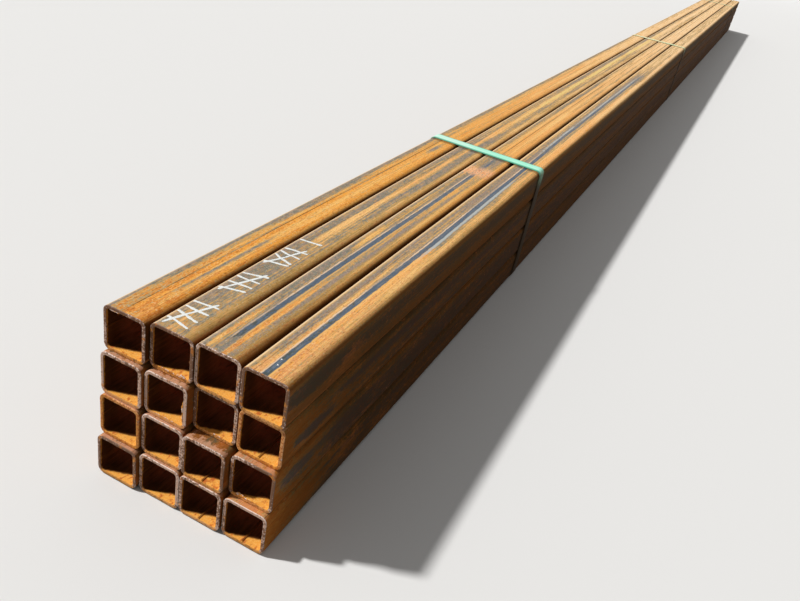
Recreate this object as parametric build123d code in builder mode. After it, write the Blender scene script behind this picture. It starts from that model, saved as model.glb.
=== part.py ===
from build123d import *
import os

# A strapped bundle of square steel tubes, lying on a level floor.
# X runs across the bundle and Y along it, with the near ends at -Y, and +Z is up.
# The origin is on the floor, under the middle of the bundle. All sizes are in millimetres.

os.makedirs("parts", exist_ok=True)

# The tube: a cold-formed square hollow section, closed by a weld along the middle of one wall
tube_size = 63.5
wall = 4.76
corner_radius = 9.5
tube_length = 7315.0
# The flash of that weld, which stands inside the bore
flash_width = 3.4
flash_height = 1.3

# The stack: rows are counted from the top and columns from the left, seen from the near end
column_gaps = (1.4, 0.4, 2.2)
row_gap = 0.3
# How far each tube's near end lies behind the foremost one
end_recess = (
    (14.0, 20.5, 23.0, 21.0),
    (8.0, 12.5, 25.0, 24.0),
    (5.5, 8.5, 7.0, 16.0),
    (0.0, 5.0, 5.5, 8.0),
)
# The wall of each tube that has the weld, with its direction in degrees from +X
wall_direction = {"right": 0, "top": 90, "left": 180, "floor": 270}
weld_wall = (
    ("left", "right", "top", "top"),
    ("right", "left", "top", "floor"),
    ("left", "right", "floor", "left"),
    ("top", "left", "floor", "floor"),
)

# The straps: a flat plastic band round the bundle, its ends lapped and welded on the left side
strap_width = 31.75
strap_thickness = 1.27
strap_clearance = 0.25
lap_length = 60.0
# From the foremost tube's near end to the middle of each strap
strap_places = {"strap_near": 985.0, "strap_middle": 3410.0, "strap_far": 6560.0}

columns = len(column_gaps) + 1
rows = len(end_recess)
bore = tube_size - 2 * wall
bore_corner_radius = corner_radius - wall
stack_width = columns * tube_size + sum(column_gaps)
stack_height = rows * tube_size + (rows - 1) * row_gap
strap_inner_width = stack_width + 2 * strap_clearance
strap_inner_height = stack_height + 2 * strap_clearance
strap_inner_radius = corner_radius + strap_clearance
strap_outer_radius = strap_inner_radius + strap_thickness
strap_outer_width = strap_inner_width + 2 * strap_thickness
strap_outer_height = strap_inner_height + 2 * strap_thickness

# The bundle stands on its straps, and its two ends are as far from the origin as each other
stack_middle_z = strap_outer_height / 2
most_recess = max(max(row) for row in end_recess)
foremost_end_y = -(tube_length + most_recess) / 2


# A tube is its section, drawn on its near end and drawn out along its length
for row in range(rows):
    for column in range(columns):
        left_of_tube = column * tube_size + sum(column_gaps[:column])
        above_tube = row * (tube_size + row_gap)
        centre_x = left_of_tube + (tube_size - stack_width) / 2
        centre_z = stack_middle_z + (stack_height - tube_size) / 2 - above_tube
        end_y = foremost_end_y + end_recess[row][column]
        near_end = Plane(origin=(centre_x, end_y, centre_z), x_dir=(1, 0, 0), z_dir=(0, -1, 0))
        weld_direction = wall_direction[weld_wall[row][column]]

        with BuildPart() as tube:
            with BuildSketch(near_end):
                RectangleRounded(tube_size, tube_size, corner_radius)
                RectangleRounded(bore, bore, bore_corner_radius, mode=Mode.SUBTRACT)
                with PolarLocations(bore / 2, 1, weld_direction):
                    Ellipse(flash_height, flash_width / 2)
            extrude(amount=-tube_length)

        name = f"tube_row{row + 1}_column{column + 1}"
        tube.part.label = name
        export_step(tube.part, f"parts/{name}.step")

# A strap is a rounded band, with a second layer on the left side where its ends lap
for name, distance in strap_places.items():
    strap_y = foremost_end_y + distance
    middle = Plane(origin=(0, strap_y, stack_middle_z), x_dir=(1, 0, 0), z_dir=(0, -1, 0))

    with BuildPart() as strap:
        with BuildSketch(middle):
            RectangleRounded(strap_outer_width, strap_outer_height, strap_outer_radius)
            RectangleRounded(
                strap_inner_width, strap_inner_height, strap_inner_radius, mode=Mode.SUBTRACT
            )
            with Locations((-(strap_outer_width + strap_thickness) / 2, 0)):
                Rectangle(strap_thickness, lap_length)
        extrude(amount=strap_width / 2, both=True)

    strap.part.label = name
    export_step(strap.part, f"parts/{name}.step")
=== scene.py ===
import math
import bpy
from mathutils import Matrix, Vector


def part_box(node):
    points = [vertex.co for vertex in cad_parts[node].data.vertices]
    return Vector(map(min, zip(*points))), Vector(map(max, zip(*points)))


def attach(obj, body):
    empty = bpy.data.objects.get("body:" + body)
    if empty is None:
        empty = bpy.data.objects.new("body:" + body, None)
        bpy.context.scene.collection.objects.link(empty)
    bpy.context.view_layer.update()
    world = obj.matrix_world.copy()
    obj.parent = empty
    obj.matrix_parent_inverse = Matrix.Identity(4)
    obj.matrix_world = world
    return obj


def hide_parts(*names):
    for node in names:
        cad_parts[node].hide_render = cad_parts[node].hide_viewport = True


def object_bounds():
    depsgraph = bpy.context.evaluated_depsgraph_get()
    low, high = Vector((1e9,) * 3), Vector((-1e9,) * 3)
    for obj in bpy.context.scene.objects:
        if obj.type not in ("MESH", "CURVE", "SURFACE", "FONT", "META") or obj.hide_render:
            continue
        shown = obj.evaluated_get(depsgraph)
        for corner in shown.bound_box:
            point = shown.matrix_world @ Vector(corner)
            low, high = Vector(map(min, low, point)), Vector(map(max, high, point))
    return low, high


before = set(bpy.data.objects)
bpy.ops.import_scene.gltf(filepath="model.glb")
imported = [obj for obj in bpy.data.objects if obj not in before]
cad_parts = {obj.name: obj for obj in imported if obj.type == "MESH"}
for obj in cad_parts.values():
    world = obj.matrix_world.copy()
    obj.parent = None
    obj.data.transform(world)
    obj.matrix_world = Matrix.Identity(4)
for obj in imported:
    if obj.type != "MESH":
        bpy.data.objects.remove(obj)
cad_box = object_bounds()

from types import SimpleNamespace

import bmesh
import bpy
import numpy as np
from mathutils import Matrix

bl_info = {
    "name": "Strapped bundle of square tubes",
    "version": (1, 0, 0),
    "blender": (4, 5, 0),
    "location": "3D View > Sidebar > Tubes",
    "description": "Rusted square steel tubes, stacked and strapped, with a plain studio round them",
    "category": "Add Mesh",
}

MM = 0.001
ROWS = 4
COLUMNS = 4
RIGHT, TOP, LEFT, FLOOR = range(4)
STRAPS = ("strap_near", "strap_middle", "strap_far")
NEAR_END = cad_box[0].y
# A distance from the near end that lies past the far end, and a place that is nowhere on a tube, whether it
# is in metres or in widths of the tube
END = 8.0
NOWHERE = 9.0
# The width of the camera's frame in millimetres, and how far off the camera can be set in metres
FRAME_WIDTH = 36.0
FURTHEST = 100.0


# Sizes and colours that a user would change


def length(name, description, default, low=0.0):
    """A length in metres, shown in the scene's own unit."""
    return bpy.props.FloatProperty(
        name=name, description=description, default=default, min=low, subtype="DISTANCE", unit="LENGTH",
        precision=5,
    )


def angle(name, description, degrees):
    """An angle, given in degrees."""
    return bpy.props.FloatProperty(
        name=name, description=description, default=math.radians(degrees), subtype="ANGLE", unit="ROTATION"
    )


def plain_number(name, description, default, unit="NONE"):
    """A number, by itself without a unit."""
    return bpy.props.FloatProperty(name=name, description=description, default=default, unit=unit)


def colour(name, description, default):
    """A linear colour without alpha."""
    return bpy.props.FloatVectorProperty(
        name=name, description=description, default=default, size=3, min=0.0, max=1.0, subtype="COLOR"
    )


class TubeSettings(bpy.types.PropertyGroup):
    wall: length("Wall", "Thickness of a tube's wall", 4.76 * MM)
    corner_radius: length("Corner radius", "Outer radius of a tube's rounded corners", 9.5 * MM)
    dish: length("Dish", "How far the middle of a wall lies below its corners", 0.2 * MM)
    edge_break: length("Edge break", "How far the sawn end's edges are worn back", 0.45 * MM)
    chipping: length("Chipping", "How unevenly the sawn ends are cut", 0.35 * MM)
    flash_width: length("Flash width", "Width of the weld's flash inside the bore", 3.4 * MM)
    flash_height: length("Flash height", "Height of the weld's flash inside the bore", 1.3 * MM)
    weld_width: length("Weld width", "Width of the scarfed weld stripe on the skin", 7.8 * MM)
    grey_scale: colour("Grey scale", "Scale left by the mill", (0.205, 0.205, 0.165))
    mauve_scale: colour("Mauve scale", "Scale where it turns mauve", (0.345, 0.253, 0.205))
    olive_scale: colour("Olive scale", "Scale stained by thin rust", (0.46, 0.28, 0.085))
    ochre_rust: colour("Ochre rust", "Thin rust over the scale", (0.60, 0.36, 0.12))
    orange_rust: colour("Orange rust", "Fresh rust in the open", (0.90, 0.38, 0.058))
    yellow_rust: colour("Yellow rust", "The palest, driest rust", (0.95, 0.54, 0.15))
    straw_rust: colour("Straw rust", "Yellow rust along the second tube", (0.84, 0.63, 0.22))
    # Pale rust: faded rust, and also the colour of the painted glare on the far tops and the painted
    # highlight on the left shoulders
    pale_rust: colour("Pale rust", "Bleached rust away from the near end", (1.0, 0.71, 0.41))
    red_rust: colour("Red rust", "Redder rust in fine streaks", (0.60, 0.165, 0.035))
    # Painted shade: the sheltered walls' colours are darker than their scale and rust, for the right side and
    # between the tubes
    dark_scale: colour("Dark scale", "Scale on the sheltered walls", (0.043, 0.029, 0.014))
    plum_scale: colour("Plum scale", "Scale on the sheltered walls where it is plum", (0.041, 0.015, 0.006))
    brown_rust: colour("Brown rust", "Rust on the sheltered walls", (0.135, 0.047, 0.010))
    # Painted shade: the mouths' scale is darkened for the shade inside the bore
    bore_scale_and_shade: colour("Bore dark", "Scale inside the tubes' mouths", (0.075, 0.025, 0.008))
    bore_brown: colour("Bore brown", "Rust deep inside the tubes", (0.58, 0.17, 0.075))
    weld_blue: colour("Weld blue", "Heat-blued steel of the weld stripe", (0.086, 0.124, 0.176))
    weld_shade: colour("Weld shade", "Darker, greener patches of the weld stripe", (0.058, 0.078, 0.068))
    scarf_pale: colour("Scarf pale", "Pale edge of the scarfed weld", (0.84, 0.60, 0.40))
    bright_steel: colour("Bright steel", "Bare steel beside the weld", (0.47, 0.51, 0.50))
    rubbed_peach: colour("Rubbed peach", "Rust powder rubbed across a wall", (0.97, 0.51, 0.26))
    # Painted shade: this dark colour stands in for the shade in the grooves between the top tubes
    crevice_shade_brown: colour("Joint brown", "Dark rust in the joints between the top tubes", (0.045, 0.012, 0.001))
    # Painted shadow: the dark line along the straps' near edges stands in for the shadow under the raised
    # band
    strap_shadow: colour("Strap stain", "Dark stain along the straps' near edges", (0.014, 0.011, 0.004))
    cut_steel: colour("Cut steel", "The sawn ends", (0.74, 0.47, 0.345))
    # Lighter rims on the sawn ends: burred steel, and painted highlight on the edges
    cut_rim: colour("Cut rim", "The sawn ends' bright edges", (0.96, 0.77, 0.67))


class StrapSettings(bpy.types.PropertyGroup):
    thickness: length("Thickness", "Thickness of the band", 1.27 * MM)
    edge_radius: length("Edge radius", "Radius of the band's two long edges", 0.5 * MM)
    lap_length: length("Lap length", "Length over which the band's two ends lie on each other", 60 * MM)
    corner_radius: length("Corner radius", "Radius of the band's inner side round a corner", 9.75 * MM)
    band_green: colour("Band green", "The plastic band", (0.40, 0.92, 0.68))
    # Pale scuffs, and the painted sheen on the band's top towards the left
    band_pale_and_sheen: colour("Band pale", "The band where it is bleached", (0.72, 0.96, 0.82))
    band_dust: colour("Band dust", "Rust dust on the straps", (1.0, 0.74, 0.38))
    # Painted shade: the band's darker edges stand in for the shade on its edges, deepest on the near edge
    edge_shade_green: colour("Deep green", "The band's edges", (0.10, 0.40, 0.25))
    # Grime, and painted shade on the band's right and lower sides
    band_dirt_and_shade: colour("Band dirt", "Rusty dirt on the band's sheltered sides", (0.045, 0.028, 0.015))


class MarkSettings(bpy.types.PropertyGroup):
    stroke_width: length("Stroke width", "Width of a paint stroke", 3.8 * MM)
    stroke_length: length("Stroke length", "Length of a tally stroke", 36.0 * MM)
    film: length("Film", "Thickness of the paint", 0.12 * MM)
    paint_white: colour("Paint white", "Marker paint", (0.84, 0.86, 0.83))


class StudioSettings(bpy.types.PropertyGroup):
    floor_size: length("Floor size", "Side of the square floor", 400.0)
    floor_seen: colour("Floor as seen", "Plain pale floor", (0.80, 0.79, 0.77))
    floor_glow: colour("Floor as it lights", "Colour of the light that it throws back", (0.24, 0.23, 0.21))
    camera_x: length("Camera across", "Camera's place across the bundle", 0.4411, -FURTHEST)
    camera_y: length("Camera along", "Camera's place along the bundle", -4.2149, -FURTHEST)
    camera_z: length("Camera height", "Camera's height above the floor", 0.7554, -FURTHEST)
    heading: angle("Heading", "How far the camera turns left of the tubes' length", 20.34)
    tilt: angle("Tilt", "How far the camera looks below the horizon", 29.75)
    roll: angle("Roll", "How far the camera leans to its left", 11.99)
    lens: plain_number("Lens", "Focal length over a 36 mm wide frame", 33.57, "CAMERA")
    key_strength: plain_number("Key", "Strength of the key light", 3.1)
    key_spread: angle("Key spread", "Angle that the key light fills, seen from the bundle", 3.5)
    key_tilt: angle("Key tilt", "How far the key light leans towards the near end", 14.0)
    key_lean: angle("Key lean", "How far the key light leans to the left", 36.0)
    fill_strength: plain_number("Fill", "Strength of the white surround", 0.24)


# Shader maths


class Value:
    """A node's output. The operators on it add Math nodes, so expressions read as maths."""

    def __init__(self, nodes, socket):
        self.nodes = nodes
        self.socket = socket

    def maths(self, operation, first, second):
        return self.nodes.node("ShaderNodeMath", {"operation": operation}, {0: first, 1: second})

    def __add__(self, other):
        return self.maths("ADD", self, other)

    def __radd__(self, other):
        return self.maths("ADD", other, self)

    def __sub__(self, other):
        return self.maths("SUBTRACT", self, other)

    def __rsub__(self, other):
        return self.maths("SUBTRACT", other, self)

    def __mul__(self, other):
        return self.maths("MULTIPLY", self, other)

    def __rmul__(self, other):
        return self.maths("MULTIPLY", other, self)

    def __abs__(self):
        return self.maths("ABSOLUTE", self, 0.0)


class Nodes:
    """The nodes of a material or a world, with short ways to add more."""

    def __init__(self, tree):
        self.tree = tree

    def feed(self, socket, value):
        """Links a Value to a socket, or sets the socket to a number or a colour."""
        if isinstance(value, Value):
            self.tree.links.new(value.socket, socket)
        elif hasattr(value, "__len__") and socket.type == "RGBA":
            socket.default_value = (*value, 1.0)
        else:
            socket.default_value = value

    def node(self, kind, settings=None, sockets=None, output=0):
        """Adds any node: its type, its settings, then the values or links of its sockets."""
        made = self.tree.nodes.new(kind)
        for name, value in (settings or {}).items():
            setattr(made, name, value)
        for name, value in (sockets or {}).items():
            self.feed(made.inputs[name], value)
        return Value(self, made.outputs[output])

    def attribute(self, name):
        """A number stored on the mesh."""
        return self.node("ShaderNodeAttribute", {"attribute_name": name}, output="Fac")

    def map_place(self):
        """The piece's own map: metres round the section, metres along it, and both as a vector with the
        piece's seed."""
        both = self.node("ShaderNodeUVMap", {"uv_map": "surface"})
        around, along = (self.node("ShaderNodeSeparateXYZ", {}, {0: both}, output) for output in (0, 1))
        return around, along, self.node(
            "ShaderNodeCombineXYZ", {}, {0: around, 1: along, 2: self.attribute("seed")}
        )

    def object_place(self):
        """The place in the bundle's own frame, in metres."""
        return self.node("ShaderNodeTexCoord", output="Object")

    def seen(self):
        """1 for what the camera sees, also in a gloss, and 0 for the light that reaches the tubes."""
        camera = self.node("ShaderNodeLightPath", output="Is Camera Ray")
        return camera.maths("MAXIMUM", camera, self.node("ShaderNodeLightPath", output="Is Glossy Ray"))

    def noise(self, place, scales, detail=2.0, roughness=0.5):
        """Smooth noise of about 0 to 1, with features of 1 / scales metres."""
        scaled = self.node("ShaderNodeVectorMath", {"operation": "MULTIPLY"}, {0: place, 1: scales})
        return self.node(
            "ShaderNodeTexNoise", {"noise_dimensions": "3D"},
            {"Vector": scaled, "Scale": 1.0, "Detail": detail, "Roughness": roughness},
        )

    def step(self, value, low, high):
        """0 below low, 1 above high and smooth between, or the other way round where low is above high."""
        return self.node(
            "ShaderNodeMapRange", {"interpolation_type": "SMOOTHSTEP"},
            {"Value": value, "From Min": low, "From Max": high},
        )

    def mix(self, factor, first, second):
        """A colour that goes from the first to the second as the factor goes from 0 to 1."""
        return self.node("ShaderNodeMix", {"data_type": "RGBA"}, {0: factor, 6: first, 7: second}, output=2)

    def coat(self, base, *layers):
        """A colour with layers laid over it in turn, each with how much it covers and its colour."""
        for cover, layer in layers:
            base = self.mix(cover, base, layer)
        return base

    def bump(self, height, distance, strength):
        """A normal from a height of 0 to 1 that stands for that distance."""
        return self.node("ShaderNodeBump", {}, {"Height": height, "Distance": distance, "Strength": strength})


class Finish(Nodes):
    """A material under construction, with its Principled shader."""

    def __init__(self, name):
        self.material = bpy.data.materials.new(name)
        self.material.use_nodes = True
        super().__init__(self.material.node_tree)
        self.tree.nodes.clear()
        self.surface = self.tree.nodes.new("ShaderNodeBsdfPrincipled")
        end = self.tree.nodes.new("ShaderNodeOutputMaterial")
        self.tree.links.new(self.surface.outputs[0], end.inputs["Surface"])

    def set(self, **sockets):
        """Sets or links the Principled shader's sockets, with underscores for spaces."""
        for name, value in sockets.items():
            self.feed(self.surface.inputs[name.replace("_", " ")], value)


# Surfaces


def smooth_noise(places, spacing, seed):
    """Noise from -1 to 1 along a line: random values every spacing, joined by cosine curves."""
    count, start = 4096, 1000.0
    values = np.random.default_rng(seed).uniform(-1.0, 1.0, count)
    at = np.asarray(places) / spacing + start
    low = np.floor(at).astype(int)
    share = 0.5 - 0.5 * np.cos((at - low) * np.pi)
    return values[low % count] * (1 - share) + values[(low + 1) % count] * share


def ragged(places, coarse, fine, coarse_seed, fine_seed):
    """A ragged edge's height, from 0.1 to 1: a coarse and a fine noise about 0.55."""
    coarse_part, fine_part = smooth_noise(places, coarse, coarse_seed), smooth_noise(places, fine, fine_seed)
    return 0.55 + 0.3 * coarse_part + 0.15 * fine_part


def ramp(values, low, high):
    """0 up to low, 1 from high on and a smooth curve, 3t^2 - 2t^3, between."""
    t = np.clip((values - low) / (high - low), 0, 1)
    return t * t * (3 - 2 * t)


def bell(values, middle, width):
    """A bell curve, e^-((value - middle) / width)^2: 1 in the middle and nothing two or three widths off."""
    return np.exp(-(((values - middle) / width) ** 2))


def window(values, start, stop, soft=0.03):
    """1 from start to stop and 0 elsewhere, with soft ends."""
    return ramp(values, start - soft, start + soft) * ramp(-values, -stop - soft, -stop + soft)


# Places of the points near a wall's middle, close enough together to draw the weld's flash
HALF_STEPS = np.array([0.7, 1.2, 1.5, 1.65, 1.7, 1.9, 2.3]) * MM
MIDDLE_STEPS = np.concatenate([-HALF_STEPS[::-1], [0.0], HALF_STEPS])


def wall_axes(wall):
    """A wall's outward normal and the direction along it, counterclockwise seen from the near end."""
    turn = wall * math.pi / 2
    normal = np.array([math.cos(turn), math.sin(turn)])
    return normal, np.array([-normal[1], normal[0]])


class Section:
    """The rounded square of a tube, as points round it.

    A point at depth d under the skin is its base plus its direction times (corner radius - d). On a wall
    the base slides along the line that joins two corner centres and the direction is the wall's normal; in
    a corner the base stays at the corner's centre and the direction turns through a quarter circle.
    around is the distance along the skin, and each wall's middle is at its number times pitch. half is half
    of a wall's flat part, and inward falls from 1 in a wall's middle to 0 at its corners.
    """

    def __init__(self, size, radius, wall_steps, corner_steps):
        self.size = size
        self.radius = radius
        half = size / 2 - radius
        self.half = half
        self.pitch = 2 * half + radius * math.pi / 2
        bases, directions, arounds, inwards = [], [], [], []
        for wall in (RIGHT, TOP, LEFT, FLOOR):
            normal, tangent = wall_axes(wall)
            slide = np.linspace(-half, half, wall_steps + 1)[:-1]
            slide = np.sort(np.concatenate([slide[np.abs(slide) > MIDDLE_STEPS[-1]], MIDDLE_STEPS]))
            bases.append(normal * half + slide[:, None] * tangent)
            directions.append(np.repeat(normal[None], len(slide), 0))
            arounds.append(wall * self.pitch + slide)
            inwards.append(1 - (slide / half) ** 2)
            turn, bend = wall * math.pi / 2, np.linspace(0, math.pi / 2, corner_steps + 1)[:-1]
            bases.append(np.repeat((normal + tangent)[None] * half, corner_steps, 0))
            directions.append(np.stack([np.cos(turn + bend), np.sin(turn + bend)], 1))
            arounds.append(wall * self.pitch + half + bend * radius)
            inwards.append(np.zeros(corner_steps))
        self.base = np.concatenate(bases)
        self.direction = np.concatenate(directions)
        self.around = np.concatenate(arounds)
        self.inward = np.concatenate(inwards)
        self.end = 4 * self.pitch - half
        self.wall = np.rint(self.around / self.pitch).astype(int) % 4

    def ring(self, depth):
        """Points (x, z) at a depth under the skin, one number or one for each point."""
        return self.base + self.direction * (self.radius - np.asarray(depth))[..., None]


CORNERS = (
    (slice(None, -1), slice(None, -1)), (slice(1, None), slice(None, -1)),
    (slice(1, None), slice(1, None)), (slice(None, -1), slice(1, None)),
)


def grid_faces(rows, columns, closes):
    """The four-sided faces of a grid of points, with the wrapped ones where its rows or columns close."""
    index = np.arange(rows * columns).reshape(rows, columns)
    if closes[0]:
        index = np.concatenate([index, index[:1]], 0)
    if closes[1]:
        index = np.concatenate([index, index[:, :1]], 1)
    return np.stack([index[c] for c in CORNERS], -1)


def smooth_piece(name, points, faces, materials):
    """An object from points and faces, shaded smooth, that rides on the bundle."""
    mesh = bpy.data.meshes.new(name)
    mesh.from_pydata(points.reshape(-1, 3), [], faces.reshape(-1, 4).tolist())
    mesh.polygons.foreach_set("use_smooth", np.ones(len(mesh.polygons), bool))
    for material in materials:
        mesh.materials.append(material)
    piece = bpy.data.objects.new(name, mesh)
    bpy.context.scene.collection.objects.link(piece)
    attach(piece, "root")
    return piece


def mapped_piece(name, points, faces, around, along, materials, attributes, patches=None):
    """A piece from a grid of points, rows x columns x 3, with a map and numbers on it.

    around and along are the places of the grid's lines on the map, one more than its columns or rows where
    it closes. attributes are numbers for each point, and patches gives each row of faces its material.
    """
    piece = smooth_piece(name, points, faces, materials)
    mesh = piece.data
    u, v = np.broadcast_arrays(np.asarray(around)[None], np.asarray(along)[:, None])
    places = np.stack([np.stack([u[c], v[c]], -1) for c in CORNERS], -2)
    mesh.uv_layers.new(name="surface").data.foreach_set("uv", places.astype(np.float32).ravel())
    if patches is not None:
        mesh.polygons.foreach_set("material_index", np.repeat(np.asarray(patches, np.int32), faces.shape[1]))
    for key, values in attributes.items():
        full = np.broadcast_to(values, points.shape[:2])
        mesh.attributes.new(key, "FLOAT", "POINT").data.foreach_set(
            "value", np.ascontiguousarray(full, np.float32).ravel()
        )
    return piece


def close_poles(piece):
    """Merges points that lie on one another, so that poles and pinched ends are closed."""
    shape = bmesh.new()
    shape.from_mesh(piece.data)
    bmesh.ops.remove_doubles(shape, verts=shape.verts, dist=0.002 * MM)
    shape.to_mesh(piece.data)
    shape.free()


# How many points a thin piece has across its front, and across its back
FACE_POINTS = 7


def across_and_back(low, high):
    """Numbers from low to high and back again, for the loop round a thin piece."""
    return np.concatenate([np.linspace(low, high, FACE_POINTS), np.linspace(high, low, FACE_POINTS)])


def pointed_pieces(name, shapes, material):
    """One piece from several like grids of points, each rows x loop x 3, pinched to a point at their ends."""
    points = np.stack(shapes)
    count, rows, columns = points.shape[:3]
    firsts = np.arange(count)[:, None, None, None] * rows * columns
    faces = grid_faces(rows, columns, closes=(False, True)) + firsts
    close_poles(smooth_piece(name, points, faces, [material]))


# The tubes

# The wall that has the weld, by row and column
WELD_WALLS = (
    (LEFT, RIGHT, TOP, TOP),
    (RIGHT, LEFT, TOP, FLOOR),
    (LEFT, RIGHT, FLOOR, LEFT),
    (TOP, LEFT, FLOOR, FLOOR),
)
# Bands of rust along the four top walls, by column, and down the right side, by row. Each has its middle and
# half width across the wall in widths of the tube, from the left edge or the top edge, its start and end in
# metres from the bundle's near end, and its strength, which is below 0 where the scale shows.
TOP_BANDS = (
    (
        (0.32, 0.11, 0.0, END, 0.50), (0.52, 0.11, 0.0, END, 0.80), (0.74, 0.13, 0.0, END, 0.72),
        (0.92, 0.10, 0.0, END, 0.40), (0.66, 0.06, 0.10, 0.30, -0.75), (0.62, 0.10, 0.875, 0.925, -0.9),
        (0.22, 0.05, 0.0, 0.10, 0.4), (0.09, 0.10, 0.0, 1.0, -0.35), (0.25, 0.05, 0.35, 0.6, -0.3),
        (0.45, 0.10, 1.7, 2.6, 0.2), (0.18, 0.15, 3.4, END, 0.35),
    ),
    (
        (0.35, 0.22, 0.0, 0.07, 0.45), (0.62, 0.20, 0.0, 0.36, 0.18), (0.44, 0.10, 0.33, END, 0.75),
        (0.72, 0.12, 0.38, 0.48, 0.3), (0.90, 0.10, 0.5, END, 0.25), (0.12, 0.12, 0.6, 3.2, 0.14),
        (0.50, 0.35, 1.1, 3.0, 0.25), (0.50, 0.35, 3.0, END, 0.62), (0.25, 0.08, 1.8, 3.3, -0.25),
    ),
    (
        (0.24, 0.07, 0.02, 0.15, 0.85), (0.25, 0.07, 0.36, 0.46, 0.6), (0.22, 0.12, 0.40, 1.0, 0.26),
        (0.12, 0.14, 0.0, 0.36, -0.25), (0.72, 0.09, 0.12, 0.5, -0.20),
        (0.60, 0.07, 0.02, 0.22, 1.0), (0.60, 0.07, 0.22, 0.72, 0.45), (0.60, 0.09, 0.68, 0.90, 0.45),
        (0.88, 0.10, 0.45, 1.0, 0.35), (0.45, 0.34, 1.0, 2.6, 0.58), (0.45, 0.34, 2.6, END, 0.90),
        (0.38, 0.08, 1.0, 2.5, 0.25), (0.62, 0.10, 1.0, 2.6, 0.25), (0.82, 0.13, 1.0, END, 0.42),
        (0.90, 0.10, 0.0, END, 0.25), (0.24, 0.07, 1.3, 2.1, -0.40), (0.75, 0.06, 1.6, 3.4, -0.42),
    ),
    (
        (0.24, 0.12, 0.0, 0.06, 0.6), (0.20, 0.14, 0.0, 0.45, 0.05), (0.33, 0.04, 0.03, 0.34, 0.75),
        (0.31, 0.07, 0.34, 0.62, 0.32), (0.63, 0.10, 0.0, 0.46, 0.95), (0.82, 0.12, 0.0, END, 0.42),
        (0.72, 0.10, 0.75, 1.1, 0.2), (0.72, 0.12, 1.0, 2.2, 0.62), (0.12, 0.15, 0.9, 2.6, 0.26),
        (0.40, 0.45, 2.5, END, 0.52), (0.90, 0.10, 1.0, END, 0.45),
    ),
)
SIDE_BANDS = (
    ((0.85, 0.24, 0.0, END, 0.65), (0.10, 0.10, 0.0, END, 0.30), (0.40, 0.20, 0.0, 0.12, -0.8)),
    (
        (0.55, 0.50, 0.0, 0.22, 0.60), (0.55, 0.50, 0.22, END, 0.30), (0.32, 0.13, 0.14, END, -0.45),
        (0.62, 0.15, 0.055, 0.12, -1.35),
    ),
    (
        (0.06, 0.12, 0.0, END, 0.40), (0.60, 0.40, 0.0, 0.12, 0.60), (0.95, 0.12, 0.0, END, 0.2),
        (0.42, 0.17, 0.035, 0.085, -1.5),
    ),
    ((0.50, 0.50, 0.0, END, 0.22), (0.40, 0.50, 0.0, 0.14, 0.60)),
)
# Where powder was rubbed across a top wall, in metres from the near end, by column
RUBBED_PLACES = (NOWHERE, NOWHERE, 0.852, NOWHERE)
# The weld stripes on the top walls, by column, as pairs of a distance from the near end in metres and a
# number: the stripe's place from the wall's left edge in widths of the tube, and how whole its blue is
STRIPE_PLACES = {
    2: ((0.0, 0.445), (0.2, 0.445), (0.4, 0.462), (0.6, 0.475)),
    3: (
        (0.0, 0.462), (0.15, 0.472), (0.3, 0.490), (0.5, 0.515), (0.8, 0.500), (1.1, 0.485), (1.3, 0.455),
        (1.8, 0.475), (2.2, 0.515),
    ),
}
STRIPE_BLUES = {
    2: (
        (0.04, 0.0), (0.09, 1.0), (0.42, 1.0), (0.52, 0.62), (0.72, 0.60), (0.82, 0.50), (0.94, 0.46),
        (1.0, 0.0),
    ),
    3: ((0.0, 1.0), (0.95, 1.0), (1.05, 0.56), (2.40, 0.48), (2.65, 0.0)),
}
# Bare steel beside those stripes, by column: its near and far end in metres, and its side, 1 for left and -1
# for right
BRIGHT_PARTS = {2: (), 3: ((0.42, 0.86, -1), (1.10, 2.45, 1))}
# The part of each top wall where the scale turns mauve, from the left edge in widths of the tube, by column
MAUVE_PARTS = ((NOWHERE, NOWHERE), (0.0, 0.2), (0.6, 0.85), (0.0, 0.42))
# How dark the painted shade on the upper part of each top tube's right shoulder is at the mouth, where it
# also stands for darker rust, and how much of the painted shade on its lower part is gone 2 m from there, by
# column
NEAR_SHADES = (0.3, 0.6, 1.0, 0.5)
SHADE_FADES = (0.2, 0.2, 0.6, 0.8)
# How pale the rust of the top walls is, by column
PALE_PARTS = (0.0, 0.25, 0.10, 0.22)
# Where the second column's streak of rust turns straw-yellow: its middle and half width, its near and far end
STRAW_STREAK = (0.46, 0.10, 1.4, 3.6)
# How much of its shelter a tube loses at its ends: in the right column, by row, and in the other columns
RIGHT_COLUMN_LOSS = (0.20, 0.36, 0.52, 0.74)
OTHER_LOSS = 0.25
# The columns whose top tubes have the darkest upper edge on their sawn ends
DARK_EDGES = (1, 2)
# The tubes whose sawn ends are the least and the most rusted, by row and column
BRIGHT_ENDS = ((0, 2), (1, 0), (1, 1), (2, 1), (3, 1), (3, 2), (3, 3))
RUSTED_ENDS = ((2, 0), (1, 3))
# A long thin score on two walls, by row and column: its place across the wall, its near and far end
SCORES = {(0, 0): (0.43, 0.03, 0.97), (0, 2): (0.46, 1.0, END)}
NO_SCORE = (NOWHERE, NOWHERE, NOWHERE)


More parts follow.
